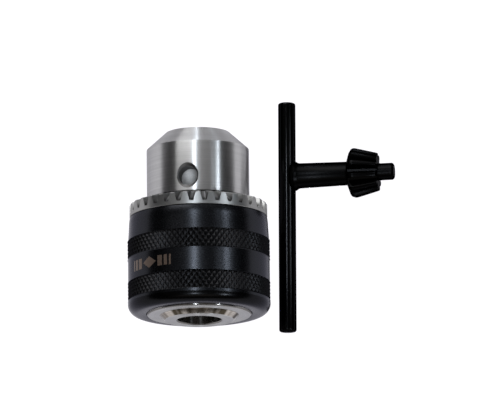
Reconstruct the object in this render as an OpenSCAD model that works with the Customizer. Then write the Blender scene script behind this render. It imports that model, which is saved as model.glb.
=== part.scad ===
// Keyed drill chuck of 13 mm capacity, with its key.
// The chuck lies on its side with its axis along Y. Its rear boss face is at y = 0,
// and its nose points to +Y. The key lies on the same bench, to the right.
// An azimuth is an angle around the chuck's axis, from +Z (the top) towards +X.

/* [Body] */
// Overall length, from the rear boss face to the nose
body_length = 57.6; // [56:0.1:60]
// Radius of the bright front cylinder
front_r = 15.5; // [15.3:0.1:15.5]
// Distance from the rear boss face to the foot of the nose cone
cone_y = 52.4; // [50:0.1:54]
// Radius of the flat on the nose
nose_r = 9.7; // [8:0.1:11]
// Radius of the rear land that the sleeve turns on
land_r = 15.8; // [15.7:0.1:15.9]
// Distance from the rear boss face to the rear flange face
flange_y = 1.5; // [1.3:0.1:1.8]
// Radius of the rear boss at its end face
boss_end_r = 10.4; // [9.5:0.1:10.8]
// Radius of the rear boss where it meets the flange
boss_root_r = 11.6; // [11:0.1:12.5]

/* [Spindle seat] */
// Radius of the plain counterbore in front of the spindle thread
counterbore_r = 6.6; // [6.5:0.1:7]
// Depth of the counterbore
counterbore_depth = 3.5; // [2:0.5:4]
// Minor radius of the 1/2-20 UNF spindle thread
thread_r = 5.75; // [5.7:0.01:5.85]
// Distance from the rear boss face to the bottom of the thread
thread_end_y = 17; // [15:0.5:18]
// Radius of the axial hole for a spindle screw
screw_hole_r = 3.5; // [3:0.1:4]

/* [Tool opening] */
// Radius of the bore that takes the drill's shank
shank_bore_r = 6.6; // [6.6:0.05:6.7]
// Distance from the rear boss face to the bottom of that bore
shank_bore_y = 21; // [20:0.5:21.5]

/* [Key holes] */
// Radius of each hole for the key's pilot
key_hole_r = 2.95; // [2.9:0.05:3.1]
// Distance from the rear boss face to the key holes
key_hole_y = 41.6; // [41:0.1:42.2]
// Depth of the straight part, from the front cylinder's surface
key_hole_depth = 5.5; // [5:0.1:6]
// Azimuth of the first key hole
key_hole_azimuth = -11.6; // [-30:0.1:30]
// Radius of the countersink at the front cylinder's surface
countersink_r = 3.2; // [3.15:0.05:3.4]

/* [Jaws] */
// Radius of a jaw's round rod
jaw_r = 4; // [4:0.05:4]
// Length of a jaw, measured along the chuck's axis
jaw_length = 39; // [38:0.5:39]
// Inward slope of a jaw, in mm of radius per mm of axis
jaw_slope = 0.25; // [0.25:0.01:0.25]
// Distance from the rear boss face to the jaw tips, as drawn
jaw_tip_y = 57; // [50:0.5:57]
// Distance from the rear boss face to the jaw tips, when closed
closed_tip_y = 66; // [66:0.5:66]
// Radius of the smallest drill that the jaws grip
smallest_grip_r = 1; // [1:0.05:1.2]
// Width of the narrow land that grips the drill
grip_land = 0.8; // [0.5:0.1:1.2]

/* [Nut] */
// Outer radius of the split nut
nut_r = 18.2; // [18.1:0.1:18.3]
// Distance from the rear boss face to the nut's rear face
nut_rear_y = 22; // [22:0.1:22.4]
// Distance from the rear boss face to the nut's front face
nut_front_y = 31; // [30.8:0.1:31]
// Axial travel of the jaws in one turn of the sleeve
thread_pitch = 2; // [2:0.1:2]

/* [Sleeve] */
// Radius of the sleeve over its knurled bands
sleeve_r = 21.5; // [21.3:0.1:21.8]
// Radius of the sleeve at its front edge
sleeve_front_r = 20.9; // [20.8:0.1:21.2]
// Distance from the rear boss face to the sleeve's rear face
sleeve_rear_y = 1.9; // [1.8:0.1:2.1]
// Distance from the rear boss face to the sleeve's front face
sleeve_front_y = 31.6; // [31.4:0.1:31.8]
// Radius of the rounded rear edge
sleeve_edge_r = 3; // [2:0.1:3]
// Radial running clearance between the sleeve and the body
running_gap = 0.08; // [0.04:0.01:0.1]

/* [Gear ring] */
// Number of teeth on the ring
ring_teeth = 33; // [33:1:33]
// Outer radius of the ring
ring_r = 20.8; // [20.6:0.1:20.8]
// Distance from the rear boss face to the tips of the teeth
tooth_tip_y = 35.4; // [35:0.1:35.6]
// Distance from the rear boss face to the bottoms of the tooth spaces
tooth_root_y = 32.6; // [32.4:0.1:32.8]

/* [Key] */
// Number of teeth on the key's pinion
pinion_teeth = 11; // [11:1:11]
// Largest radius of the pinion
pinion_r = 7.6; // [7.4:0.1:8]
// Radius of the pinion at its small end
pinion_small_r = 5.8; // [5.5:0.1:6]
// Radius of the pilot
pilot_r = 2.6; // [2.5:0.05:2.7]
// Radius of the shank at the handle bar
shank_r = 3.85; // [3.7:0.05:4]
// Radius of the handle bar
bar_r = 2.65; // [2.5:0.05:3]
// Length of the handle bar
bar_length = 70.8; // [68:0.1:76]
// Distance of the handle bar from the chuck's axis
bar_x = 27; // [26:0.05:32]
// Position of the middle of the handle bar along Y
bar_y = 35.25; // [30:0.05:40]
// Position of the shank along Y
key_y = 47.9; // [44:0.05:52]
// Turn of the lying key about the vertical, from parallel to the chuck
key_yaw = -0.6; // [-1:0.1:1]

/* [Hidden] */
$fn = 120;

// Colours
bright_steel = "silver";
black_oxide = "#202022";
dark_steel = "dimgray";

// Overshoot of a cutting shape past the face that it opens
past = 1;

// Three jaws, with the key holes midway between them
third = 120;
sixth = 60;

// The jaw's axis: a straight line that crosses the chuck's axis near the nose
jaw_angle = atan(jaw_slope);
closed_axis_r = 0.7;
jaw_bore_r = jaw_r + running_gap;
jaw_bore_end_y = 4.3;
jaw_end_chamfer = 2;
wedge_half_angle = 60;

// The split nut's groove in the body
groove_floor_r = 12.2;
groove_gap = 0.1;

// The jaw thread: ridges in the nut, and wider grooves in the jaws
ridge_reach = 0.85;
ridge_gap = 0.15;
ridge_tip_half = 0.25;
ridge_root_half = 0.45;
thread_start = 0.5;
ridge_turns = 4;
nut_steps = 24;
jaw_groove_depth = 1.4;
jaw_groove_bottom_half = 0.45;
jaw_groove_top_half = 0.75;
jaw_groove_width = 9;
jaw_groove_start = 12;

// The sleeve's inner steps
cavity_rear_y = 3.8;
cavity_front_y = 14;
cavity_r = 19.6;
cavity_chamfer = 1.2;
spigot_r = 19.4;
spigot_rear_y = 27;
sleeve_crown_y = 27;
band_chamfer = 0.3;

// The ring's bore and tooth spaces
ring_bore_r = front_r + 0.1;
tooth_inner_r = 16;
space_root_half = 0.6;
space_tip_half = 1.35;
space_root_slope = 38;

// The key, from the bar's axis outwards along its shank
bench_z = -sleeve_r;
shank_start_x = 1.6;
shank_start_r = 4;
flare_r = 4.5;
flare_x = 2.6;
flare_end_x = 3.9;
shank_end_r = 3.6;
pinion_back_x = 18.6;
pinion_rim_x = 19.6;
pinion_full_x = 20.9;
pinion_rim_r = 6.8;
pinion_end_x = 28.1;
pilot_end_x = 32.95;
pilot_chamfer = 0.5;
bar_chamfer = 0.4;
// The cross hole for the bar is drilled a little off square
key_skew = 0.8;
pinion_root_r = 4.9;
pinion_root_small_r = 4.1;
pinion_space_root_half = 0.5;
pinion_space_top_half = 1.35;

// The pinion and the flare rest on the bench, so the shank slopes up by this angle
key_tilt = atan((pinion_r - flare_r) / (pinion_full_x - flare_x));
bar_height = flare_r * cos(key_tilt) - flare_x * sin(key_tilt);

// The longer side of the handle bar is heavier, so that end dips until it touches the bench
bar_long_side = bar_length / 2 + key_y - bar_y;
bar_dip = asin((bar_height - bar_r) / bar_long_side);

// Radius of the jaw's axis where it passes a plane across the chuck
function jaw_axis_r(y) = closed_axis_r + (closed_tip_y - y) * jaw_slope;

// Radius of the outermost line of a jaw in that plane
function jaw_back_r(y) = jaw_axis_r(y) + jaw_r / cos(jaw_angle);

// Azimuth of jaw number index, counted from 0
function jaw_azimuth(index) = key_hole_azimuth + sixth + index * third;

// Axial place of the jaw thread at an azimuth, before whole pitches are added
function thread_y(azimuth) = nut_rear_y + thread_start + thread_pitch * azimuth / 360;

// Radius of the circle that the jaws grip, as drawn
function grip_r() = smallest_grip_r + (closed_tip_y - jaw_tip_y) * jaw_slope;

// Stands the lathe axis Z along the chuck's axis Y
module along_chuck() {
  rotate([-90, 0, 0]) children();
}

// Turns what is drawn along the lathe frame's +X to an azimuth
module at_azimuth(azimuth) {
  rotate([0, 0, azimuth - 90]) children();
}

// Puts the origin on a jaw's axis at axial place y, with Z along the jaw
module on_jaw_axis(y) {
  translate([jaw_axis_r(y), 0, y]) rotate([0, -jaw_angle, 0]) children();
}

// The turned outside of the body, with the nut's groove
module body_blank() {
  land_chamfer = 0.3;
  front_chamfer = 0.15;
  rotate_extrude()
    polygon([
      [0, 0], [boss_end_r, 0], [boss_root_r, flange_y],
      [land_r - land_chamfer, flange_y], [land_r, flange_y + land_chamfer],
      [land_r, nut_rear_y - groove_gap], [groove_floor_r, nut_rear_y - groove_gap],
      [groove_floor_r, nut_front_y + groove_gap], [front_r, nut_front_y + groove_gap],
      [front_r, cone_y - front_chamfer], [front_r - front_chamfer, cone_y],
      [nose_r, body_length], [0, body_length]
    ]);
}

// The stepped seat for the spindle, and the axial screw hole
module spindle_seat() {
  translate([0, 0, -past]) cylinder(h = counterbore_depth + past, r = counterbore_r);
  cylinder(h = thread_end_y, r = thread_r);
  cylinder(h = shank_bore_y + past, r = screw_hole_r);
}

// The bore for the drill's shank, with a small bevel at the nose
module shank_bore() {
  bevel = 0.5;
  translate([0, 0, shank_bore_y])
    cylinder(h = body_length - shank_bore_y + past, r = shank_bore_r);
  translate([0, 0, body_length - bevel])
    cylinder(h = bevel * 2, r1 = shank_bore_r, r2 = shank_bore_r + bevel * 2);
}

// One inclined bore for a jaw, from inside the body out through the nose
module jaw_bore() {
  bore_length = (body_length - jaw_bore_end_y) / cos(jaw_angle) + 4 * past;
  on_jaw_axis(jaw_bore_end_y) cylinder(h = bore_length, r = jaw_bore_r);
}

// One blind key hole with a drill point and a wide countersink
module key_hole() {
  drill_angle = 59;
  countersink_rise = 1;
  floor_r = front_r - key_hole_depth;
  point_height = key_hole_r / tan(drill_angle);
  countersink_low_r = countersink_r - countersink_rise * tan(drill_angle);
  translate([floor_r, 0, key_hole_y]) rotate([0, 90, 0]) {
    cylinder(h = key_hole_depth + past, r = key_hole_r);
    translate([0, 0, -point_height]) cylinder(h = point_height, r1 = 0, r2 = key_hole_r);
  }
  translate([front_r - countersink_rise - drop_at_hole(), 0, key_hole_y]) rotate([0, 90, 0])
    cylinder(h = 2 * countersink_rise, r1 = countersink_low_r,
             r2 = countersink_low_r + 2 * countersink_rise * tan(drill_angle));
}

// How far the round surface falls away at the sides of a key hole
function drop_at_hole() = front_r - sqrt(front_r * front_r - countersink_r * countersink_r);

module chuck_body() {
  color(bright_steel) along_chuck() difference() {
    body_blank();
    spindle_seat();
    shank_bore();
    for (index = [0:2]) at_azimuth(jaw_azimuth(index)) jaw_bore();
    for (index = [0:2]) at_azimuth(key_hole_azimuth + index * third) key_hole();
  }
}

// The sleeve's outer outline, from its rear bore round to its front bore
module sleeve() {
  rear_bore_r = land_r + running_gap;
  edge_centre_r = sleeve_r - sleeve_edge_r;
  edge_centre_y = sleeve_rear_y + sleeve_edge_r;
  edge_steps = 8;
  edge = [
    for (step = [0:edge_steps])
      [edge_centre_r + sleeve_edge_r * sin(90 * step / edge_steps),
       edge_centre_y - sleeve_edge_r * cos(90 * step / edge_steps)]
  ];
  color(black_oxide) along_chuck() rotate_extrude()
    polygon(concat(
      [[rear_bore_r, cavity_rear_y], [rear_bore_r, sleeve_rear_y]],
      edge,
      [[sleeve_r, sleeve_crown_y], [sleeve_front_r + band_chamfer, sleeve_front_y - band_chamfer],
       [sleeve_front_r, sleeve_front_y], [spigot_r, sleeve_front_y], [spigot_r, spigot_rear_y],
       [nut_r, spigot_rear_y], [nut_r, cavity_front_y], [cavity_r, cavity_front_y],
       [cavity_r, cavity_rear_y + cavity_chamfer], [cavity_r - cavity_chamfer, cavity_rear_y]]
    ));
}

// One space between two ring teeth, along the lathe frame's +X: its bottom rises inwards
module tooth_space() {
  reach = (ring_r - ring_bore_r + past) / cos(space_root_slope) + past;
  depth = tooth_tip_y - tooth_root_y;
  slope = (space_tip_half - space_root_half) / (depth * cos(space_root_slope));
  top_half = space_tip_half + slope * past;
  translate([ring_r, 0, tooth_root_y]) rotate([0, space_root_slope, 0])
    translate([past - reach, 0, 0]) rotate([90, 0, 90])
      linear_extrude(height = reach)
        polygon([
          [-space_root_half, 0], [space_root_half, 0],
          [top_half, depth + past], [-top_half, depth + past]
        ]);
}

// Pressed on the nut and into the sleeve; its teeth rise inwards as the pinion's cone does
module gear_ring() {
  tooth_angle = 360 / ring_teeth;
  crown_slope = (pinion_r - pinion_small_r) / (pinion_end_x - pinion_full_x);
  crown_y = tooth_tip_y + (ring_r - tooth_inner_r) * crown_slope;
  tip_chamfer = 0.4;
  inner_drop = 0.3;
  color(bright_steel) along_chuck() difference() {
    rotate_extrude()
      polygon([
        [ring_bore_r, nut_front_y], [nut_r, nut_front_y], [nut_r, spigot_rear_y],
        [spigot_r, spigot_rear_y], [spigot_r, sleeve_front_y], [ring_r, sleeve_front_y],
        [ring_r, tooth_tip_y - tip_chamfer], [ring_r - tip_chamfer, tooth_tip_y],
        [tooth_inner_r, crown_y], [ring_bore_r, crown_y - inner_drop]
      ]);
    for (index = [0:ring_teeth - 1])
      at_azimuth((index + 0.5) * tooth_angle) tooth_space();
  }
}

// Radius of the nut's coned bore, clear of the backs of the jaws
function nut_bore_r(y) = jaw_back_r(y) + ridge_gap;

// The four corners of one thread ridge whose middle is at y, as [radius, y], front to rear
function ridge_corners(y) = [
  [nut_bore_r(y + ridge_root_half), y + ridge_root_half],
  [jaw_back_r(y) - ridge_reach, y + ridge_tip_half],
  [jaw_back_r(y) - ridge_reach, y - ridge_tip_half],
  [nut_bore_r(y - ridge_root_half), y - ridge_root_half]
];

// The nut's outline at one azimuth: two bore corners, two outer corners, then the ridges
function nut_outline(azimuth) = concat(
  [[nut_bore_r(nut_rear_y), nut_rear_y], [nut_r, nut_rear_y],
   [nut_r, nut_front_y], [nut_bore_r(nut_front_y), nut_front_y]],
  [for (turn = [ridge_turns - 1:-1:0])
     for (corner = ridge_corners(thread_y(azimuth) + turn * thread_pitch)) corner]
);

// One half of the split nut: a coned half ring with the jaw thread inside it
module nut_half(start_azimuth) {
  outlines = [for (step = [0:nut_steps]) nut_outline(start_azimuth + 180 * step / nut_steps)];
  count = len(outlines[0]);
  points = [
    for (step = [0:nut_steps]) for (corner = outlines[step])
      let (side = start_azimuth - 90 + 180 * step / nut_steps)
      [corner[0] * cos(side), corner[0] * sin(side), corner[1]]
  ];
  sides = [
    for (step = [0:nut_steps - 1]) for (index = [0:count - 1])
      let (here = count * step + index)
      let (next = count * step + (index + 1) % count)
      [here, here + count, next + count, next]
  ];
  first_foot = 4;
  feet = [for (turn = [0:ridge_turns - 1]) for (foot = [0, 3]) first_foot + 4 * turn + foot];
  cap = concat([1, 2, 3], feet, [0]);
  ridge_caps = [for (turn = [0:ridge_turns - 1]) [for (foot = [0:3]) first_foot + 4 * turn + foot]];
  last = count * nut_steps;
  start_caps = concat([cap], ridge_caps);
  end_caps = [
    for (face = start_caps)
      [for (index = [0:len(face) - 1]) face[(len(face) - index) % len(face)] + last]
  ];
  color(dark_steel) along_chuck()
    polyhedron(points = points, faces = concat(start_caps, sides, end_caps), convexity = 6);
}

module nut_half_a() { nut_half(0); }
module nut_half_b() { nut_half(180); }

// The prism that leaves the jaw's gripping wedge: two faces and a narrow land between them
module grip_wedge() {
  size = 3 * jaw_r;
  land_half = grip_land / 2;
  rise = size * tan(wedge_half_angle);
  translate([grip_r(), 0, 0]) linear_extrude(height = jaw_tip_y)
    polygon([
      [0, -land_half], [size, -land_half - rise], [size, land_half + rise], [0, land_half]
    ]);
}

// The thread grooves across the back of a jaw
module jaw_grooves(azimuth) {
  lead_angle = atan(thread_pitch / (2 * PI * jaw_back_r((nut_rear_y + nut_front_y) / 2)));
  phase = (thread_y(azimuth) - nut_rear_y) / thread_pitch;
  last_y = jaw_tip_y - jaw_groove_start;
  first_y = jaw_tip_y - jaw_length;
  count = floor((last_y - first_y) / thread_pitch);
  offset_y = first_y + thread_pitch * (phase + nut_rear_y / thread_pitch
             - first_y / thread_pitch - floor(phase + (nut_rear_y - first_y) / thread_pitch));
  for (index = [0:count]) {
    y = offset_y + index * thread_pitch;
    translate([jaw_back_r(y) - jaw_groove_depth, 0, y]) rotate([lead_angle, 0, 0])
      rotate([90, 0, 0]) translate([0, 0, -jaw_groove_width / 2])
        linear_extrude(height = jaw_groove_width)
          polygon([
            [0, -jaw_groove_bottom_half], [0, jaw_groove_bottom_half],
            [2 * jaw_groove_depth, 2 * jaw_groove_top_half - jaw_groove_bottom_half],
            [2 * jaw_groove_depth, jaw_groove_bottom_half - 2 * jaw_groove_top_half]
          ]);
  }
}

// One hardened jaw: an inclined rod with a gripping wedge in front and a thread behind
module jaw(index) {
  rod_length = jaw_length / cos(jaw_angle);
  azimuth = jaw_azimuth(index);
  color(dark_steel) along_chuck() at_azimuth(azimuth) difference() {
    intersection() {
      on_jaw_axis(jaw_tip_y - jaw_length) {
        cylinder(h = jaw_end_chamfer, r1 = jaw_r - jaw_end_chamfer, r2 = jaw_r);
        translate([0, 0, jaw_end_chamfer])
          cylinder(h = rod_length - jaw_end_chamfer + 2 * past, r = jaw_r);
      }
      grip_wedge();
    }
    jaw_grooves(azimuth);
  }
}

module jaw_1() { jaw(0); }
module jaw_2() { jaw(1); }
module jaw_3() { jaw(2); }

// Puts the origin where the key's axes cross, with X along its shank and Y along its bar
module on_key() {
  translate([bar_x, key_y, bench_z + bar_height]) rotate([0, 0, key_yaw])
    rotate([0, -key_tilt, 0]) rotate([bar_dip, 0, 0]) children();
}

// One space between two pinion teeth, cut along the pinion's cone
module pinion_space() {
  run = pinion_end_x - pinion_back_x;
  slope = atan((pinion_root_r - pinion_root_small_r) / run);
  depth = pinion_r - pinion_root_r + past;
  translate([pinion_back_x - past, 0, pinion_root_r]) rotate([0, slope, 0])
    rotate([90, 0, 90]) linear_extrude(height = run + 2 * past)
      polygon([
        [-pinion_space_root_half, 0], [pinion_space_root_half, 0],
        [pinion_space_top_half, depth], [-pinion_space_top_half, depth]
      ]);
}

// Shank, pinion and pilot, turned from one bar and saddled to the handle bar's side
module key_shank() {
  color(black_oxide) on_key() difference() {
    rotate([0, 90, key_skew]) rotate_extrude()
      polygon([
        [0, shank_start_x], [shank_start_r, shank_start_x], [flare_r, flare_x],
        [shank_r, flare_end_x], [shank_end_r, pinion_back_x],
        [pinion_rim_r, pinion_rim_x], [pinion_r, pinion_full_x],
        [pinion_small_r, pinion_end_x], [pilot_r, pinion_end_x],
        [pilot_r, pilot_end_x - pilot_chamfer], [pilot_r - pilot_chamfer, pilot_end_x],
        [0, pilot_end_x]
      ]);
    for (index = [0:pinion_teeth - 1])
      rotate([0, 0, key_skew])
        rotate([(index + 0.5) * 360 / pinion_teeth + 180, 0, 0]) pinion_space();
    rotate([90, 0, 0]) cylinder(h = 4 * flare_r, r = bar_r, center = true);
  }
}

// The cross bar that turns the key
module key_handle_bar() {
  half_length = bar_length / 2;
  color(black_oxide) on_key() translate([0, bar_y - key_y, 0]) rotate([-90, 0, 0])
    rotate_extrude()
      polygon([
        [0, -half_length], [bar_r - bar_chamfer, -half_length],
        [bar_r, bar_chamfer - half_length], [bar_r, half_length - bar_chamfer],
        [bar_r - bar_chamfer, half_length], [0, half_length]
      ]);
}

chuck_body();
sleeve();
gear_ring();
nut_half_a();
nut_half_b();
jaw_1();
jaw_2();
jaw_3();
key_shank();
key_handle_bar();
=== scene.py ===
"""Looks of a keyed drill chuck and its key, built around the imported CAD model.

The chuck's axis is the Y axis: its rear boss face is at y = 0 and its nose points to +Y.
An azimuth is an angle around that axis, from +Z (the top) towards +X.
Lengths in this script are in millimetres, and point_mesh() turns them into metres.
"""

import math

import bpy
from mathutils import Matrix, Vector


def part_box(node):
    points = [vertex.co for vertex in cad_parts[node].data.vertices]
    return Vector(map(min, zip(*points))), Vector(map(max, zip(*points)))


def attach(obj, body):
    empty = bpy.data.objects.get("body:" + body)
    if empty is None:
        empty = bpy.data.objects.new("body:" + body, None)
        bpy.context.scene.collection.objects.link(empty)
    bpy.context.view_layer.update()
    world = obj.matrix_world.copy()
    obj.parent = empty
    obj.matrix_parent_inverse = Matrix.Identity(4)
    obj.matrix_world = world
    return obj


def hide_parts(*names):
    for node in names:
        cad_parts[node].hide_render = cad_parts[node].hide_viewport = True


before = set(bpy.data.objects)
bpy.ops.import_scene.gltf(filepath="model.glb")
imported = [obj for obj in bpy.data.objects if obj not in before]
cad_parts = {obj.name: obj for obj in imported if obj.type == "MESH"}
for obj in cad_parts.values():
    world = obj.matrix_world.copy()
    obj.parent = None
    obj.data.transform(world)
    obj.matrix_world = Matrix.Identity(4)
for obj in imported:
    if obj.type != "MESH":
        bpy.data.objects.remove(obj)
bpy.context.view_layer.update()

MM = 0.001
TURN = 2 * math.pi


# ---------------------------------------------------------------------------
# Sizes, in millimetres, as in the CAD model
# ---------------------------------------------------------------------------

BODY_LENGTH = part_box("chuck_body")[1].y / MM
FRONT_R = 15.5
CONE_Y = 52.4
NOSE_R = 9.7
LAND_R = 15.8
FLANGE_Y = 1.5
BOSS_END_R = 10.4
BOSS_ROOT_R = 11.6
GROOVE_FLOOR_R = 12.2
GROOVE_REAR_Y = 21.9
GROOVE_FRONT_Y = 31.1

COUNTERBORE_R = 6.6
COUNTERBORE_DEPTH = 3.5
THREAD_R = 5.75
THREAD_END_Y = 17
THREAD_PITCH = 1.27
THREAD_DEPTH = 0.55
SCREW_HOLE_R = 3.5
SHANK_BORE_R = 6.6
SHANK_BORE_Y = 21

KEY_HOLE_R = 2.95
KEY_HOLE_Y = 41.6
KEY_HOLE_DEPTH = 5.5
KEY_HOLE_AZIMUTH = math.radians(-11.6)
COUNTERSINK_R = 3.3
DRILL_HALF_ANGLE = math.radians(59)

JAW_BORE_R = 4.08
JAW_SLOPE = 0.25
JAW_ANGLE = math.atan(JAW_SLOPE)
JAW_CLOSED_AXIS_R = 0.7
JAW_CLOSED_TIP_Y = 66
JAW_BORE_END_Y = 4.3

SLEEVE_R = 21.5
SLEEVE_REAR_Y = 1.9
SLEEVE_FRONT_Y = 31.6
SLEEVE_EDGE_R = 3.0
SLEEVE_CROWN_Y = 28.9
CAVITY_R = 19.6
CAVITY_REAR_Y = 3.8
CAVITY_FRONT_Y = 14
SPIGOT_REAR_Y = 27
RUNNING_GAP = 0.08
KNURL_BANDS = ((5.7, 11.3), (18.5, 24.1))
KNURL_COUNT = 80
KNURL_PITCH_Y = 2.3
KNURL_DEPTH = 0.42
KNURL_STEPS = 6
MARK_Y = 14.9
MARK_AZIMUTH = math.radians(-44)

RING_TEETH = 33
RING_R = 20.8
RING_BORE_R = 15.6
NUT_R = 18.2
NUT_FRONT_Y = 31.0
SPIGOT_R = 19.4
TOOTH_INNER_R = 16.0
SPACE_ROOT_HALF = 0.6
SPACE_TIP_HALF = 1.35
SPACE_ROOT_SLOPE = math.radians(38)
TOOTH_TIP_Y = 35.4
TOOTH_ROOT_Y = 32.6

PINION_TEETH = 11
BAR_R = 2.65
BAR_LENGTH = 70.8
BAR_X = 27.0
BAR_Y = 35.25
KEY_Y = 47.9
SHANK_R = 3.85
SHANK_END_R = 3.6
FLARE_R = 4.5
FLARE_X = 2.6
PINION_R = 7.6
PINION_FULL_X = 20.9
PINION_BACK_X = 18.6
PINION_SMALL_R = 5.8
PINION_END_X = 28.1
PINION_ROOT_R = 4.9
PINION_ROOT_SMALL_R = 4.1
PILOT_R = 2.6
PILOT_END_X = 32.95
KEY_SKEW = math.radians(0.8)
KEY_YAW = math.radians(-0.6)
CROWN_SLOPE = (PINION_R - PINION_SMALL_R) / (PINION_END_X - PINION_FULL_X)
CROWN_Y = TOOTH_TIP_Y + (RING_R - TOOTH_INNER_R) * CROWN_SLOPE


# ---------------------------------------------------------------------------
# Mesh helpers
# ---------------------------------------------------------------------------

def point_mesh(name, points, faces, sharp_degrees=32.0):
    """A mesh object from points in millimetres, smooth but for edges sharper than the angle."""
    mesh = bpy.data.meshes.new(name)
    mesh.from_pydata([tuple(c * MM for c in p) for p in points], [], faces)
    mesh.validate()
    mesh.update()
    piece = bpy.data.objects.new(name, mesh)
    bpy.context.scene.collection.objects.link(piece)
    smooth(piece, sharp_degrees)
    return piece


def smooth(piece, sharp_degrees):
    """Smooth shading that breaks at edges sharper than the angle."""
    mesh = piece.data
    mesh.polygons.foreach_set("use_smooth", [True] * len(mesh.polygons))
    mesh.set_sharp_from_angle(angle=math.radians(sharp_degrees))


def around(radius, azimuth, y):
    """The point at a radius and azimuth around the chuck's axis."""
    return (radius * math.sin(azimuth), y, radius * math.cos(azimuth))


def circle(radius, y, count):
    """A ring of points around the chuck's axis."""
    return [around(radius, TURN * k / count, y) for k in range(count)]


def loft(rings, closed=False, flip=False, diagonal=None):
    """Points and faces of a skin over rings of equal length; a ring of one point is a pole."""
    points, starts = [], []
    for ring in rings:
        starts.append(len(points))
        points.extend(ring)
    pairs = list(zip(range(len(rings)), range(1, len(rings))))
    if closed:
        pairs.append((len(rings) - 1, 0))
    faces = []
    for low, high in pairs:
        count = max(len(rings[low]), len(rings[high]))
        for k in range(count):
            n = (k + 1) % count
            a, b = (starts[low] + i % len(rings[low]) for i in (k, n))
            d, c = (starts[high] + i % len(rings[high]) for i in (k, n))
            if a == b:
                faces.append((a, c, d))
            elif c == d:
                faces.append((a, b, c))
            elif diagonal and diagonal(low, high, k, n):
                faces.extend([(a, b, c), (a, c, d)])
            elif diagonal:
                faces.extend([(a, b, d), (b, c, d)])
            else:
                faces.append((a, b, c, d))
    if flip:
        faces = [tuple(reversed(f)) for f in faces]
    return points, faces


def turned(name, outline, count):
    """A solid of revolution about the Y axis, from (radius, y) points; radius 0 is a pole."""
    points, faces = loft([circle(radius, y, count if radius else 1) for radius, y in outline])
    return point_mesh(name, points, faces)


def arc(centre, radius, start, end, steps):
    """Points on an arc in an outline, with angles in degrees from +r towards +y."""
    angles = [math.radians(start + (end - start) * i / steps) for i in range(steps + 1)]
    return [(centre[0] + radius * math.cos(a), centre[1] + radius * math.sin(a)) for a in angles]


def cut(piece, cutters):
    """Takes the cutters out of the piece; each cut keeps its cutter's material."""
    for cutter in cutters:
        boolean = piece.modifiers.new("cut", "BOOLEAN")
        boolean.material_mode = "TRANSFER"
        boolean.operation = "DIFFERENCE"
        boolean.solver = "EXACT"
        boolean.object = cutter
    bpy.context.view_layer.update()
    graph = bpy.context.evaluated_depsgraph_get()
    result = bpy.data.meshes.new_from_object(piece.evaluated_get(graph))
    piece.modifiers.clear()
    piece.data = result
    for cutter in cutters:
        bpy.data.objects.remove(cutter)


def place(piece, matrix):
    """Moves a piece's points by a matrix whose shift is in millimetres."""
    matrix = matrix.copy()
    matrix.translation *= MM
    piece.data.transform(matrix)
    return piece


# ---------------------------------------------------------------------------
# Materials
# ---------------------------------------------------------------------------

def new_material(name):
    """A new node material, with its node tree and its principled shader."""
    material = bpy.data.materials.new(name)
    material.use_nodes = True
    tree = material.node_tree
    return material, tree, tree.nodes["Principled BSDF"]


def add(tree, kind, **settings):
    """Adds a node and sets its properties."""
    node = tree.nodes.new(kind)
    for key, value in settings.items():
        setattr(node, key, value)
    return node


def math_node(tree, operation, first, second=None):
    """A math node on one or two values, each a socket or a number."""
    node = add(tree, "ShaderNodeMath", operation=operation)
    for socket, value in zip(node.inputs, (first, second)):
        if isinstance(value, (int, float)):
            socket.default_value = value
        elif value is not None:
            tree.links.new(value, socket)
    return node.outputs[0]


def axes(tree, space="Object"):
    """The x, y and z sockets of the texture coordinates in a space."""
    coords = add(tree, "ShaderNodeTexCoord")
    split = add(tree, "ShaderNodeSeparateXYZ")
    tree.links.new(coords.outputs[space], split.inputs[0])
    return split.outputs


def combined(tree, x=None, y=None, z=None):
    """A vector made from up to three sockets."""
    node = add(tree, "ShaderNodeCombineXYZ")
    for socket, value in zip(node.inputs, (x, y, z)):
        if value is not None:
            tree.links.new(value, socket)
    return node.outputs[0]


def axis_distance(tree, x, z):
    """The distance from the chuck's axis."""
    squares = [math_node(tree, "MULTIPLY", side, side) for side in (x, z)]
    return math_node(tree, "SQRT", math_node(tree, "ADD", *squares))


def lathe_coordinates(tree, fine, coarse):
    """Coordinates for turning marks: fine over the radius and along the axis, coarse around it."""
    x, y, z = axes(tree)
    parts = ((axis_distance(tree, x, z), fine), (y, fine), (x, coarse))
    return combined(tree, *(math_node(tree, "MULTIPLY", part, scale) for part, scale in parts))


def noise(tree, scale, detail=2.0, roughness=0.5, vector=None):
    """A noise texture's value, at the given coordinates if there are any."""
    node = add(tree, "ShaderNodeTexNoise")
    node.inputs["Scale"].default_value = scale
    node.inputs["Detail"].default_value = detail
    node.inputs["Roughness"].default_value = roughness
    if vector is not None:
        tree.links.new(vector, node.inputs["Vector"])
    return node.outputs["Fac"]


def ramp(tree, value, low, high, start, end):
    """Maps a value from the range low..high to start..end, clamped."""
    node = add(tree, "ShaderNodeMapRange")
    tree.links.new(value, node.inputs["Value"])
    for key, number in (("From Min", low), ("From Max", high), ("To Min", start), ("To Max", end)):
        node.inputs[key].default_value = number
    return node.outputs["Result"]


def mix_colours(tree, value, first, second):
    """A colour between two, each a socket or a colour, by a value from 0 to 1."""
    node = add(tree, "ShaderNodeMix", data_type="RGBA")
    tree.links.new(value, node.inputs["Factor"])
    for socket, colour in ((node.inputs["A"], first), (node.inputs["B"], second)):
        if isinstance(colour, tuple):
            socket.default_value = (*colour, 1)
        else:
            tree.links.new(colour, socket)
    return node.outputs["Result"]


def bump(tree, shader, height, strength, distance):
    """Adds a bump from a height value, with its distance in metres."""
    node = add(tree, "ShaderNodeBump")
    node.inputs["Strength"].default_value = strength
    node.inputs["Distance"].default_value = distance
    tree.links.new(height, node.inputs["Height"])
    tree.links.new(node.outputs["Normal"], shader.inputs["Normal"])


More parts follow.
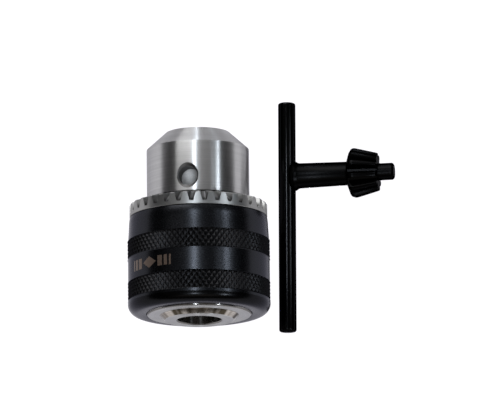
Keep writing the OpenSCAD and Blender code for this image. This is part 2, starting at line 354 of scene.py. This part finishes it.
def ring_gap_painted_shade(tree, clean):
    """The clean colour with a thin dark line of painted shade on the body where the gear ring meets
    it, for the shade in the gap.
    """
    # Painted shade: a dark colour for the gap between the body and the gear ring.
    gap_shade_colour = (0.035, 0.033, 0.031)
    y = axes(tree)[1]
    start = ramp(tree, y, (CROWN_Y - 0.6) * MM, (CROWN_Y - 0.3) * MM, 0, 1)
    end = ramp(tree, y, (CROWN_Y + 0.3) * MM, (CROWN_Y + 0.55) * MM, 1, 0)
    return mix_colours(tree, math_node(tree, "MULTIPLY", start, end), clean, gap_shade_colour)


def radial_reflection_streaks(tree, clean, reflection_streak_tone):
    """The clean colour with soft dark streaks of painted reflection that run out from the Y axis.
    """
    x, _, z = axes(tree)
    outward = add(tree, "ShaderNodeVectorMath", operation="NORMALIZE")
    tree.links.new(combined(tree, x=x, z=z), outward.inputs[0])
    streak = noise(tree, 3.2, 1.0, vector=outward.outputs[0])
    return mix_colours(tree, ramp(tree, streak, 0.42, 0.58, 0, 1), clean, reflection_streak_tone)


def turned_steel(name, light, dark, roughness, anisotropy, depth, reflection_streak_tone=None):
    """Bright steel with fine turning marks around the Y axis; a streak tone gives it dark painted
    reflection streaks, and without one it gets a painted shade line where the gear ring meets the
    body.
    """
    material, tree, shader = new_material(name)
    fine = noise(tree, 1.0, vector=lathe_coordinates(tree, 6000, 60))
    broad = noise(tree, 1.0, vector=lathe_coordinates(tree, 2200, 30))
    smudge = noise(tree, 55.0, 3.0)
    clean = mix_colours(tree, ramp(tree, broad, 0.3, 0.7, 0, 1), dark, light)
    # With a streak tone the steel gets painted reflection streaks, and otherwise a painted shade
    # line by the gear ring.
    clean = radial_reflection_streaks(tree, clean, reflection_streak_tone) if reflection_streak_tone else ring_gap_painted_shade(tree, clean)
    tree.links.new(clean, shader.inputs["Base Color"])
    tree.links.new(ramp(tree, smudge, 0.3, 0.75, roughness - 0.03, roughness + 0.04),
                   shader.inputs["Roughness"])
    shader.inputs["Metallic"].default_value = 1.0
    shader.inputs["Anisotropic"].default_value = anisotropy
    shader.inputs["Specular Tint"].default_value = (0.55, 0.55, 0.57, 1)
    shader.inputs["Anisotropic Rotation"].default_value = 0.25
    tangent = add(tree, "ShaderNodeTangent", direction_type="RADIAL", axis="Y")
    tree.links.new(tangent.outputs[0], shader.inputs["Tangent"])
    bump(tree, shader, math_node(tree, "ADD", fine, broad), 0.3, depth)
    return material


def ring_steel(name, light, dark, space_shade_colour, roughness):
    """Milled bright steel, with painted shade darkening the tooth spaces behind the ring's outer
    face.
    """
    material, tree, shader = new_material(name)
    x, y, z = axes(tree)
    behind = ramp(tree, axis_distance(tree, x, z), (RING_R - 0.25) * MM, (RING_R - 0.05) * MM, 1, 0)
    below = ramp(tree, y, (TOOTH_ROOT_Y + 0.6) * MM, (TOOTH_ROOT_Y + 1.8) * MM, 1, 0)
    cloud = noise(tree, 500.0, 3.0)
    clean = mix_colours(tree, ramp(tree, cloud, 0.3, 0.7, 0, 1), dark, light)
    # Painted shade: the tooth spaces behind the outer face, low towards their bottoms, are
    # darkened.
    space_shade_mask = math_node(tree, "MULTIPLY", behind, below)
    tree.links.new(mix_colours(tree, space_shade_mask, clean, space_shade_colour), shader.inputs["Base Color"])
    tree.links.new(ramp(tree, cloud, 0.3, 0.7, roughness - 0.04, roughness + 0.05),
                   shader.inputs["Roughness"])
    shader.inputs["Metallic"].default_value = 1.0
    shader.inputs["Specular Tint"].default_value = (0.62, 0.62, 0.63, 1)
    marks = noise(tree, 1.0, vector=lathe_coordinates(tree, 5000, 400))
    bump(tree, shader, marks, 0.25, 0.000008)
    return material


def black_oxide(name, dark, worn, roughness, edge_tint, grain_depth):
    """Oiled black-oxide steel: a dark mirror, a little lighter where it has been handled."""
    material, tree, shader = new_material(name)
    cloud = noise(tree, 90.0, 4.0, 0.6)
    grain = noise(tree, 2600.0, 2.0)
    marks = noise(tree, 1.0, vector=lathe_coordinates(tree, 5000, 50))
    tree.links.new(mix_colours(tree, ramp(tree, cloud, 0.35, 0.75, 0, 1), dark, worn),
                   shader.inputs["Base Color"])
    tree.links.new(ramp(tree, cloud, 0.3, 0.7, roughness - 0.03, roughness + 0.04),
                   shader.inputs["Roughness"])
    shader.inputs["Metallic"].default_value = 1.0
    shader.inputs["Specular Tint"].default_value = (edge_tint, edge_tint, edge_tint * 1.06, 1)
    bump(tree, shader, math_node(tree, "ADD", grain, marks), 0.25, grain_depth)
    return material


def plain_metal(name, colour, roughness):
    """Ground and hardened steel with a soft grain."""
    material, tree, shader = new_material(name)
    grain = noise(tree, 1800.0, 3.0, 0.6)
    shade = noise(tree, 160.0, 2.0)
    darker = tuple(c * 0.75 for c in colour)
    tree.links.new(mix_colours(tree, ramp(tree, shade, 0.3, 0.7, 0, 1), darker, colour),
                   shader.inputs["Base Color"])
    tree.links.new(ramp(tree, grain, 0.3, 0.7, roughness - 0.05, roughness + 0.06),
                   shader.inputs["Roughness"])
    shader.inputs["Metallic"].default_value = 1.0
    bump(tree, shader, grain, 0.2, 0.00001)
    return material


def etched_mark(name):
    """The bronze-brown tint of a mark etched through black oxide."""
    material, tree, shader = new_material(name)
    fleck = noise(tree, 1500.0, 2.0)
    dark, light = (0.07, 0.05, 0.038), (0.13, 0.09, 0.068)
    tree.links.new(mix_colours(tree, ramp(tree, fleck, 0.35, 0.7, 0, 1), dark, light),
                   shader.inputs["Base Color"])
    tree.links.new(ramp(tree, fleck, 0.3, 0.7, 0.35, 0.5), shader.inputs["Roughness"])
    shader.inputs["Metallic"].default_value = 0.6
    return material


BRIGHT = turned_steel("bright_turned_steel", (0.43, 0.43, 0.43), (0.37, 0.37, 0.37),
                      0.34, 0.98, 0.000004)
# The boss cone's last colour is the tone of its painted dark reflection streaks.
BOSS_STEEL = turned_steel("fine_turned_steel", (0.44, 0.41, 0.38), (0.3, 0.27, 0.235),
                          0.2, 0.9, 0.000003, (0.055, 0.045, 0.032))
# Painted shade: a dark copy of the turned steel for the bores and for the flange chamfer under the
# sleeve's lip.
SEAT_SHADE_STEEL = turned_steel("bore_painted_shade_steel", (0.2, 0.19, 0.18), (0.13, 0.125, 0.12),
                          0.2, 0.9, 0.000006)
# The fourth colour is painted shade for the tooth spaces.
RING_STEEL = ring_steel("bright_ring_steel", (0.3, 0.3, 0.295), (0.23, 0.23, 0.225),
                        (0.05, 0.048, 0.046), 0.34)
# Painted shade: a very dark steel for the key holes' walls, for the shade inside them.
KEY_HOLE_WALL_SHADE = plain_metal("drilled_wall_painted_shade", (0.1, 0.097, 0.095), 0.4)
# Painted light: a steel brighter than the body's for the drill points, for the light they reflect.
DRILL_POINT_PAINTED_LIGHT = plain_metal("drill_point_painted_light", (0.7, 0.69, 0.68), 0.58)
SLEEVE_BLACK = black_oxide("sleeve_black_oxide", (0.02, 0.021, 0.024), (0.028, 0.029, 0.032),
                           0.255, 0.6, 0.000003)
KNURL_BLACK = black_oxide("knurl_black_oxide", (0.011, 0.011, 0.012), (0.0175, 0.0175, 0.0185),
                          0.4, 0.4, 0.000006)
# Painted shade: a darker copy of the sleeve's black oxide for its rounded rear edge.
EDGE_SHADE_BLACK = black_oxide("sleeve_edge_shaded_black_oxide", (0.0085, 0.0087, 0.0093),
                         (0.012, 0.0122, 0.013), 0.24, 0.62, 0.000003)
BAR_BLACK = black_oxide("bar_black_oxide", (0.007, 0.007, 0.0075), (0.01, 0.01, 0.0105),
                        0.14, 0.2, 0.000003)
SHANK_BLACK = black_oxide("shank_black_oxide", (0.004, 0.004, 0.0042), (0.0055, 0.0055, 0.0057),
                          0.3, 0.12, 0.000004)
JAW_STEEL = plain_metal("hardened_jaw_steel", (0.36, 0.36, 0.37), 0.3)
MARK = etched_mark("etched_mark_tint")


def paint(piece, materials, choose):
    """Gives a piece its materials, and each face the one whose number choose(face) returns."""
    for material in materials:
        piece.data.materials.append(material)
    for face in piece.data.polygons:
        face.material_index = choose(face)


def dress(piece, material, body, slot, *nodes):
    """Gives a piece its material, unless it has some, and its body, and hides the CAD nodes it
    replaces; the slot is not used.
    """
    if not piece.data.materials:
        piece.data.materials.append(material)
    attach(piece, body)
    if nodes:
        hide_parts(*nodes)


# ---------------------------------------------------------------------------
# Chuck body
# ---------------------------------------------------------------------------

def body_blank():
    """The turned outside of the body, with small chamfers and root fillets."""
    outline = [(0, 0), (BOSS_END_R - 0.2, 0), (BOSS_END_R, 0.15)]
    outline += [(BOSS_ROOT_R - 0.05, FLANGE_Y - 0.3), (BOSS_ROOT_R + 0.1, FLANGE_Y - 0.08)]
    outline += [(BOSS_ROOT_R + 0.35, FLANGE_Y), (LAND_R - 0.35, FLANGE_Y)]
    outline += [(LAND_R - 0.06, FLANGE_Y + 0.24), (LAND_R, FLANGE_Y + 0.4)]
    outline += [(LAND_R, GROOVE_REAR_Y), (GROOVE_FLOOR_R, GROOVE_REAR_Y)]
    outline += [(GROOVE_FLOOR_R, GROOVE_FRONT_Y), (FRONT_R, GROOVE_FRONT_Y)]
    outline += [(FRONT_R, CONE_Y - 0.2), (FRONT_R - 0.05, CONE_Y - 0.03)]
    outline += [(FRONT_R - 0.2, CONE_Y + 0.1)]
    outline += [(NOSE_R + 0.15, BODY_LENGTH - 0.14), (NOSE_R, BODY_LENGTH - 0.03)]
    outline += [(NOSE_R - 0.2, BODY_LENGTH), (0, BODY_LENGTH)]
    return turned("chuck_body_turned", outline, 288)


def spindle_cutter():
    """The counterbore, the threaded seat and the screw hole behind it, as one cutter."""
    count, rows_per_pitch = 72, 8
    bevel = 0.35
    rings = [[(0.0, -1.0, 0.0)]]

    def plain(radius, y):
        rings.append(circle(radius, y, count))

    plain(COUNTERBORE_R + bevel + 1.0, -1.0)
    plain(COUNTERBORE_R, bevel)
    plain(COUNTERBORE_R, COUNTERBORE_DEPTH)
    rows = int((THREAD_END_Y - COUNTERBORE_DEPTH) / THREAD_PITCH * rows_per_pitch)
    for row in range(rows + 1):
        y = COUNTERBORE_DEPTH + 0.05 + (THREAD_END_Y - COUNTERBORE_DEPTH - 0.1) * row / rows
        ring = []
        for k in range(count):
            phase = (y / THREAD_PITCH - k / count) % 1.0
            groove = max(0.0, 1.0 - abs(2.0 * phase - 1.0) / 0.8)
            ring.append(around(THREAD_R + THREAD_DEPTH * groove, TURN * k / count, y))
        rings.append(ring)
    plain(THREAD_R - 0.05, THREAD_END_Y)
    plain(SCREW_HOLE_R, THREAD_END_Y + 0.9)
    plain(SCREW_HOLE_R, SHANK_BORE_Y + 1.0)
    rings.append([(0.0, SHANK_BORE_Y + 1.0, 0.0)])
    points, faces = loft(rings)
    return point_mesh("cut_spindle", points, faces)


def shank_cutter():
    """The bore for the drill's shank, open at the nose with a small bevel."""
    bevel = 0.5
    outline = [(0, SHANK_BORE_Y), (SHANK_BORE_R, SHANK_BORE_Y + 0.01)]
    outline += [(SHANK_BORE_R, BODY_LENGTH - bevel), (SHANK_BORE_R + bevel + 1, BODY_LENGTH + 1)]
    outline += [(0, BODY_LENGTH + 1)]
    return turned("cut_shank", outline, 96)


def jaw_cutter(azimuth):
    """One inclined jaw bore, out through the nose."""
    axis_r = JAW_CLOSED_AXIS_R + (JAW_CLOSED_TIP_Y - JAW_BORE_END_Y) * JAW_SLOPE
    length = (BODY_LENGTH - JAW_BORE_END_Y) / math.cos(JAW_ANGLE) + 4
    cutter = turned("cut_jaw", [(0, 0), (JAW_BORE_R, 0.01), (JAW_BORE_R, length), (0, length)], 72)
    lean = Matrix.Rotation(-JAW_ANGLE, 4, "X")
    shift = Matrix.Translation(Vector((0, JAW_BORE_END_Y, axis_r)))
    return place(cutter, Matrix.Rotation(azimuth, 4, "Y") @ shift @ lean)


def key_hole_cutter(azimuth):
    """One blind key hole with its drill point and countersink."""
    floor_r = FRONT_R - KEY_HOLE_DEPTH
    point = KEY_HOLE_R / math.tan(DRILL_HALF_ANGLE)
    drop = FRONT_R - math.sqrt(FRONT_R ** 2 - COUNTERSINK_R ** 2)
    sink_y = FRONT_R - drop - (COUNTERSINK_R - KEY_HOLE_R) / math.tan(DRILL_HALF_ANGLE)
    top_r = KEY_HOLE_R + 1.6 * math.tan(DRILL_HALF_ANGLE)
    outline = [(0, floor_r - point), (KEY_HOLE_R, floor_r), (KEY_HOLE_R, sink_y)]
    outline += [(top_r, sink_y + 1.6), (0, sink_y + 1.6)]
    cutter = turned("cut_key_hole", outline, 72)
    # The hole's wall gets painted shade and its drill point painted light.
    paint(cutter, (KEY_HOLE_WALL_SHADE, DRILL_POINT_PAINTED_LIGHT), lambda face: int(face.center.y < floor_r * MM))
    stand = Matrix.Rotation(math.pi / 2, 4, "X")
    shift = Matrix.Translation(Vector((0, KEY_HOLE_Y, 0)))
    return place(cutter, Matrix.Rotation(azimuth, 4, "Y") @ shift @ stand)


def body_zone(face):
    """0 on the body, 1 on the rear boss's cone and 2 on the chamfer around the rear flange, which
    is darkened as painted shade under the sleeve's lip.
    """
    y = face.center.y / MM
    if 0.15 < y < FLANGE_Y - 0.04:
        return 1
    return 2 if FLANGE_Y + 0.05 < y < FLANGE_Y + 0.35 else 0


def make_chuck_body():
    """The bright body with its spindle seat, tool bore, jaw bores and key holes."""
    piece = body_blank()
    paint(piece, (BRIGHT, BOSS_STEEL, SEAT_SHADE_STEEL), body_zone)
    cutters = [spindle_cutter(), shank_cutter()]
    for index in range(3):
        azimuth = KEY_HOLE_AZIMUTH + index * TURN / 3
        cutters += [key_hole_cutter(azimuth), jaw_cutter(azimuth + TURN / 6)]
    # Cut faces of bores without their own material are darkened with painted shade.
    for cutter in cutters:
        if not cutter.data.materials:
            cutter.data.materials.append(SEAT_SHADE_STEEL)
    cut(piece, cutters)
    smooth(piece, 24)
    dress(piece, BRIGHT, "chuck", "bright_steel", "chuck_body")


# ---------------------------------------------------------------------------
# Sleeve and gear ring
# ---------------------------------------------------------------------------

def sleeve_radius(y):
    """The outer radius of the sleeve between its rear edge and its front face."""
    knurl_front_y = KNURL_BANDS[1][1]
    if y <= knurl_front_y:
        in_middle = KNURL_BANDS[0][1] < y < KNURL_BANDS[1][0]
        return SLEEVE_R - (0.12 if in_middle else 0.0)
    if y <= SLEEVE_CROWN_Y:
        return SLEEVE_R - 0.22 - 0.06 * (y - knurl_front_y)
    share = (y - SLEEVE_CROWN_Y) / (SLEEVE_FRONT_Y - SLEEVE_CROWN_Y)
    return SLEEVE_R - 0.5 - 0.3 * share * share


def knurl_height(azimuth, y):
    """Height of the diamond knurl from 0 in the grooves to 1 on the crests."""
    u = KNURL_COUNT * azimuth / TURN + y / KNURL_PITCH_Y
    v = KNURL_COUNT * azimuth / TURN - y / KNURL_PITCH_Y
    tent_u = 1 - abs(2 * (u % 1.0) - 1)
    tent_v = 1 - abs(2 * (v % 1.0) - 1)
    return min(1.0, min(tent_u, tent_v) / 0.85)


def sleeve_rows():
    """The places along Y of the sleeve's outer rings, each with whether it is knurled."""
    row = KNURL_PITCH_Y / KNURL_STEPS
    edge, step = 0.16, 0.12
    (rear_low, rear_high), (front_low, front_high) = KNURL_BANDS
    plain = [SLEEVE_REAR_Y + SLEEVE_EDGE_R, rear_low, rear_high, front_low, front_high]
    plain += [rear_high + step, MARK_Y, front_low - step, front_high + step, 26.6, SLEEVE_CROWN_Y]
    crown = SLEEVE_FRONT_Y - 0.25 - SLEEVE_CROWN_Y
    plain += [SLEEVE_CROWN_Y + crown * i / 5 for i in range(1, 6)]
    rows = [(y, False) for y in plain]
    for low, high in KNURL_BANDS:
        first = math.ceil((low + edge) / row)
        last = math.floor((high - edge) / row)
        rows += [(row * i, True) for i in range(first, last + 1)]
    return sorted(rows)


def sleeve_zone(face):
    """0 on the sleeve, 1 on its knurled bands and 2 on its rounded rear edge, which takes a darker
    copy of the black oxide as painted shade.
    """
    x, y, z = face.center / MM
    if y < SLEEVE_REAR_Y + SLEEVE_EDGE_R:
        return 2
    knurled = any(low < y < high for low, high in KNURL_BANDS)
    return int(knurled and math.hypot(x, z) > SLEEVE_R - 2 * KNURL_DEPTH)


def make_sleeve():
    """The black outer sleeve: rounded rear edge, two knurled bands and a crowned front."""
    count = KNURL_COUNT * KNURL_STEPS
    heights, rings = [], []

    def plain(radius, y):
        heights.append(None)
        rings.append(circle(radius, y, count))

    rear_bore_r = LAND_R + RUNNING_GAP
    plain(rear_bore_r, CAVITY_REAR_Y)
    plain(rear_bore_r, SLEEVE_REAR_Y + 0.25)
    plain(rear_bore_r + 0.22, SLEEVE_REAR_Y + 0.04)
    plain(rear_bore_r + 0.42, SLEEVE_REAR_Y)
    centre = (SLEEVE_R - SLEEVE_EDGE_R, SLEEVE_REAR_Y + SLEEVE_EDGE_R)
    for radius, y in arc(centre, SLEEVE_EDGE_R, -90, 0, 12)[:-1]:
        plain(radius, y)
    for y, knurled in sleeve_rows():
        if not knurled:
            plain(sleeve_radius(y), y)
            continue
        angles = [TURN * k / count for k in range(count)]
        row = [knurl_height(a, y) for a in angles]
        heights.append(row)
        rings.append([around(SLEEVE_R - KNURL_DEPTH * (1 - h), a, y) for h, a in zip(row, angles)])
    plain(RING_R - 0.25, SLEEVE_FRONT_Y - 0.08)
    plain(RING_R - 0.45, SLEEVE_FRONT_Y)
    plain(SPIGOT_R, SLEEVE_FRONT_Y)
    plain(SPIGOT_R, SPIGOT_REAR_Y)
    plain(NUT_R, SPIGOT_REAR_Y)
    plain(NUT_R, CAVITY_FRONT_Y)
    plain(CAVITY_R, CAVITY_FRONT_Y)
    plain(CAVITY_R, CAVITY_REAR_Y + 1.2)
    plain(CAVITY_R - 1.2, CAVITY_REAR_Y)

    def diagonal(low, high, k, n):
        first, second = heights[low], heights[high]
        if first is None or second is None:
            return True
        return first[k] + second[n] <= first[n] + second[k]

    points, faces = loft(rings, closed=True, diagonal=diagonal)
    piece = point_mesh("sleeve_knurled", points, faces, 28)
    paint(piece, (SLEEVE_BLACK, KNURL_BLACK, EDGE_SHADE_BLACK), sleeve_zone)
    dress(piece, SLEEVE_BLACK, "sleeve", "black_oxide_sleeve", "sleeve")


def space_profile():
    """Half of a tooth space: (distance from its middle, height over its bottom), to the crest."""
    depth = TOOTH_TIP_Y - TOOTH_ROOT_Y
    wall_slope = (SPACE_TIP_HALF - SPACE_ROOT_HALF) / depth
    profile = [(0.0, 0.0), (SPACE_ROOT_HALF - 0.15, 0.0), (SPACE_ROOT_HALF - 0.02, 0.06)]
    profile += [(SPACE_ROOT_HALF + wall_slope * h, h) for h in (0.2, 0.5, 0.9, 1.4, 1.9, 2.3)]
    profile += [(SPACE_TIP_HALF - 0.06, depth - 0.25), (SPACE_TIP_HALF + 0.01, depth - 0.1)]
    profile += [(SPACE_TIP_HALF + 0.09, depth - 0.02), (SPACE_TIP_HALF + 0.17, depth)]
    return profile


def ring_face(radius):
    """The highest place that the ring's front reaches at a radius: a crown with eased edges."""
    if radius < TOOTH_INNER_R:
        return CROWN_Y - (TOOTH_INNER_R - radius) * 0.7
    crown = TOOTH_TIP_Y + (RING_R - radius) * CROWN_SLOPE
    return crown - max(0.0, radius - (RING_R - 0.25)) * 0.9


def ring_section(place_at):
    """One radial section of the ring; place_at(radius, y) gives a point with its height capped."""
    spigot_rear_y = SPIGOT_REAR_Y + 0.05
    section = [place_at(r, y) for r, y in (
        (SPIGOT_R, SLEEVE_FRONT_Y), (SPIGOT_R, spigot_rear_y), (NUT_R, spigot_rear_y),
        (NUT_R, NUT_FRONT_Y), (RING_BORE_R, NUT_FRONT_Y))]
    front = (RING_BORE_R, 15.7, 15.85, TOOTH_INNER_R, 16.2, 16.6, 17.2, 18.0, 19.0, 20.0)
    section += [place_at(r, ring_face(r)) for r in (*front, RING_R - 0.25, RING_R - 0.1)]
    section += [place_at(RING_R, ring_face(RING_R)), place_at(RING_R, SLEEVE_FRONT_Y + 0.12)]
    return section + [place_at(RING_R - 0.12, SLEEVE_FRONT_Y)]


def make_gear_ring():
    """The bright gear ring: its tooth spaces have parallel sides and bottoms that rise inwards."""
    half = [(w, h, side) for side in (1, -1) for w, h in space_profile()]
    rise = math.tan(SPACE_ROOT_SLOPE)
    sections = []
    for index in range(RING_TEETH):
        middle = TURN * (index + 0.5) / RING_TEETH
        for width, height, side in sorted(half, key=lambda part: part[0] * part[2]):
            if (width, side) == (0.0, -1):
                continue

            def place_at(radius, y):
                top = TOOTH_ROOT_Y + (RING_R - radius) * rise + height
                reach = min(width / radius, 0.98 * TURN / 2 / RING_TEETH)
                return around(radius, middle + side * reach, min(y, max(top, NUT_FRONT_Y)))

            sections.append(ring_section(place_at))
        crest = middle + TURN / 2 / RING_TEETH
        sections.append(ring_section(lambda radius, y: around(radius, crest, y)))
    points, faces = loft(sections, closed=True)
    piece = point_mesh("gear_ring_toothed", points, faces, 30)
    dress(piece, RING_STEEL, "sleeve", "bright_steel", "gear_ring")


def raised_patch(middle, half_width, half_height, lozenge):
    """A thin closed patch on the middle band, straight-sided or a lozenge, as points and faces."""
    outer, inner, steps = sleeve_radius(MARK_Y) + 0.015, sleeve_radius(MARK_Y) - 0.1, 8
    rings = []
    for step in range(steps + 1):
        share = 2 * step / steps - 1
        reach = half_height * (1.02 - abs(share)) if lozenge else half_height
        azimuth = middle + share * half_width / outer
        rings.append([around(r, azimuth, MARK_Y + side * reach)
                      for r, side in ((outer, 1), (outer, -1), (inner, -1), (inner, 1))])
    points, faces = loft(rings)
    last = len(points) - 4
    return points, faces + [(3, 2, 1, 0), (last, last + 1, last + 2, last + 3)]


def make_mark():
    """A plain etched mark on the sleeve's middle band: a lozenge between two groups of bars."""
    shapes = [(0.0, 2.6, 1.75, True)]
    for side in (-1, 1):
        for along, half_width in ((4.1, 0.8), (6.1, 0.55), (7.6, 0.3)):
            shapes.append((side * along, half_width, 1.6, False))
    points, faces = [], []
    for along, half_width, half_height, lozenge in shapes:
        middle = MARK_AZIMUTH + along / SLEEVE_R
        patch_points, patch_faces = raised_patch(middle, half_width, half_height, lozenge)
        start = len(points)
        points += patch_points
        faces += [tuple(start + corner for corner in face) for face in patch_faces]
    piece = point_mesh("sleeve_mark", points, faces, 30)
    dress(piece, MARK, "sleeve", "black_oxide_sleeve")


# ---------------------------------------------------------------------------
# Key
# ---------------------------------------------------------------------------

KEY_TILT = math.atan((PINION_R - FLARE_R) / (PINION_FULL_X - FLARE_X))
BAR_HEIGHT = FLARE_R * math.cos(KEY_TILT) - FLARE_X * math.sin(KEY_TILT)
BAR_DIP = math.asin((BAR_HEIGHT - BAR_R) / (BAR_LENGTH / 2 + KEY_Y - BAR_Y))


def on_key(piece):
    """Lays a piece drawn along X (shank) and Y (bar) where the key lies on the bench."""
    shift = Matrix.Translation(Vector((BAR_X, KEY_Y, BAR_HEIGHT - SLEEVE_R)))
    turn = Matrix.Rotation(KEY_YAW, 4, "Z") @ Matrix.Rotation(-KEY_TILT, 4, "Y")
    return place(piece, shift @ turn @ Matrix.Rotation(BAR_DIP, 4, "X"))


def shank_envelope():
    """The turned outline of the key along its shank: (x, radius) stations."""
    stations = [(1.7, 4.05), (2.3, 4.42), (FLARE_X, FLARE_R), (2.9, 4.38), (3.4, 4.02)]
    stations += [(3.9, SHANK_R), (11.0, 3.72), (PINION_BACK_X - 0.3, SHANK_END_R)]
    stations += [(PINION_BACK_X, SHANK_END_R + 0.06), (18.75, 4.3), (19.3, 5.9), (19.6, 6.75)]
    stations += [(19.95, 7.25), (20.4, 7.53), (PINION_FULL_X, PINION_R), (21.4, 7.54), (24.5, 6.74)]
    stations += [(PINION_END_X - 0.2, PINION_SMALL_R + 0.04), (PINION_END_X, PINION_SMALL_R - 0.16)]
    stations += [(PINION_END_X, PILOT_R + 0.12), (PINION_END_X + 0.12, PILOT_R)]
    stations += [(PILOT_END_X - 0.55, PILOT_R), (PILOT_END_X - 0.15, PILOT_R - 0.3)]
    stations += [(PILOT_END_X, PILOT_R - 0.55)]
    return stations


def pinion_outline():
    """One pinion tooth from space to space: (share of the pitch, height from 0 to 1)."""
    half = [(0.0, 1.0), (0.12, 1.0), (0.165, 0.98), (0.2, 0.88), (0.31, 0.2), (0.335, 0.05)]
    half += [(0.37, 0.0), (0.44, 0.0)]
    return [(-s, h) for s, h in reversed(half[1:])] + half


def make_key_shank():
    """Shank, milled pinion and pilot of the key in one piece."""
    tooth = pinion_outline()
    rings = [[(1.7, 0.0, 0.0)]]
    for x, outer in shank_envelope():
        share = (x - PINION_BACK_X) / (PINION_END_X - PINION_BACK_X)
        root = PINION_ROOT_R + (PINION_ROOT_SMALL_R - PINION_ROOT_R) * share
        ring = []
        for index in range(PINION_TEETH):
            for part, height in tooth:
                angle = TURN * (index + part) / PINION_TEETH + math.pi
                radius = outer
                if PINION_BACK_X < x <= PINION_END_X and outer > root:
                    radius = root + (outer - root) * height
                ring.append((x, radius * math.sin(angle), radius * math.cos(angle)))
        rings.append(ring)
    rings.append([(PILOT_END_X, 0.0, 0.0)])
    points, faces = loft(rings, flip=True)
    piece = point_mesh("key_shank_milled", points, faces, 30)
    place(piece, Matrix.Rotation(KEY_SKEW, 4, "Z"))
    dress(on_key(piece), SHANK_BLACK, "key", "black_oxide_key", "key_shank")


def make_key_bar():
    """The round handle bar, its ends slightly domed."""
    half = BAR_LENGTH / 2
    outline = [(0, -half), (1.2, -half + 0.03), (BAR_R - 0.5, -half + 0.12)]
    outline += [(BAR_R - 0.22, -half + 0.26), (BAR_R - 0.05, -half + 0.5), (BAR_R, -half + 0.8)]
    outline += [(r, -y) for r, y in reversed(outline)]
    piece = turned("key_bar_turned", outline, 96)
    place(piece, Matrix.Translation(Vector((0, BAR_Y - KEY_Y, 0))))
    dress(on_key(piece), BAR_BLACK, "key", "black_oxide_key", "key_handle_bar")


make_chuck_body()
make_sleeve()
make_gear_ring()
make_mark()
make_key_shank()
make_key_bar()

for name in ("jaw_1", "jaw_2", "jaw_3", "nut_half_a", "nut_half_b"):
    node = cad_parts[name]
    node.data.materials.clear()
    node.data.materials.append(JAW_STEEL)


# ---------------------------------------------------------------------------
# Stage: floor, lights and camera
# ---------------------------------------------------------------------------

def make_floor():
    """A plain pale floor that glows softly, so the shadows on it stay faint."""
    half, level = 2500.0, -SLEEVE_R - 0.03
    corners = ((-half, -half), (half, -half), (half, half), (-half, half))
    floor = point_mesh("floor", [(x, y, level) for x, y in corners], [(0, 1, 2, 3)])
    material, tree, shader = new_material("pale_floor")
    grain = noise(tree, 6.0, 2.0)
    tree.links.new(mix_colours(tree, grain, (0.085, 0.085, 0.0855), (0.095, 0.095, 0.095)),
                   shader.inputs["Base Color"])
    shader.inputs["Roughness"].default_value = 0.9
    shader.inputs["Specular IOR Level"].default_value = 0.0
    shader.inputs["Emission Color"].default_value = (0.98, 0.965, 1.0, 1)
    shader.inputs["Emission Strength"].default_value = 1.04
    floor.data.materials.append(material)


def panel_light(name, across, along, radiance, colour=(1.0, 1.0, 1.0)):
    """A light that spans two angles from straight up, as seen from the chuck.

    across goes from the zenith towards +X, and along towards +Y, both as (start, end) in degrees.
    """
    distance = 0.75
    width = 2 * distance * math.tan(math.radians(across[1] - across[0]) / 2)
    length = 2 * distance * math.tan(math.radians(along[1] - along[0]) / 2)
    data = bpy.data.lights.new(name, "AREA")
    data.shape = "RECTANGLE"
    data.size, data.size_y = width, length
    data.energy = radiance * math.pi * width * length
    data.color = colour
    light = bpy.data.objects.new(name, data)
    bpy.context.scene.collection.objects.link(light)
    swing = Matrix.Rotation(math.radians(sum(across)) / 2, 4, "Y")
    tip = Matrix.Rotation(-math.radians(sum(along)) / 2, 4, "X")
    light.matrix_world = swing @ tip @ Matrix.Translation((0, 0, distance))


def make_sky():
    """A dim warm room: a bright soft wall beyond the nose, a dim one behind and a dark horizon."""
    world = bpy.data.worlds.new("studio")
    bpy.context.scene.world = world
    world.use_nodes = True
    tree = world.node_tree
    _, y, z = axes(tree, "Generated")
    ceiling = ramp(tree, z, 0.42, 0.6, 0.1, 1.0)
    beyond_nose = ramp(tree, y, 0.55, 0.75, 0.12, 2.3)
    behind = ramp(tree, y, -0.7, -0.58, 0.6, 0.0)
    warm, neutral = (1.0, 0.88, 0.76), (0.98, 0.98, 1.0)
    background = tree.nodes["Background"]
    tree.links.new(mix_colours(tree, ramp(tree, y, -0.5, 0.2, 0, 1), warm, neutral),
                   background.inputs["Color"])
    walls = math_node(tree, "ADD", beyond_nose, behind)
    tree.links.new(math_node(tree, "MULTIPLY", ceiling, walls), background.inputs["Strength"])


def make_lights():
    """Narrow lamps over the chuck, its nose and its rear, and a wide soft box on its left."""
    cool = (0.84, 0.92, 1.0)
    panel_light("lamp_left", (-8, -6), (4, 20), 55, cool)
    panel_light("lamp_right", (31.5, 33.5), (4, 20), 5, cool)
    panel_light("lamp_far_right", (44.5, 47.5), (4, 20), 25, cool)
    panel_light("soft_box", (-50, -15), (30, 72), 3.2)
    panel_light("nose_lamp", (-7.2, -6.4), (72, 86), 70, cool)
    panel_light("rear_left", (-8.5, -6), (-30, -20), 90, cool)
    panel_light("rear_right", (43.5, 46), (-30, -20), 90, cool)


def make_camera():
    """The camera: nearly overhead, tipped towards the chuck's rear face."""
    elevation = math.radians(77.8)
    roll = math.radians(-0.6)
    target = Vector((12.3, 36.2, 0)) * MM
    distance = 3.0
    data = bpy.data.cameras.new("camera")
    data.lens = 748.2
    data.sensor_width = 36.0
    data.clip_start = 0.01
    camera = bpy.data.objects.new("camera", data)
    bpy.context.scene.collection.objects.link(camera)
    offset = Vector((0, -math.cos(elevation), math.sin(elevation))) * distance
    camera.location = target + offset
    aim = (-offset).to_track_quat("-Z", "Y").to_matrix() @ Matrix.Rotation(roll, 3, "Z")
    camera.rotation_euler = aim.to_euler()
    bpy.context.scene.camera = camera


make_floor()
make_sky()
make_lights()
make_camera()
bpy.context.scene.view_settings.view_transform = "Standard"
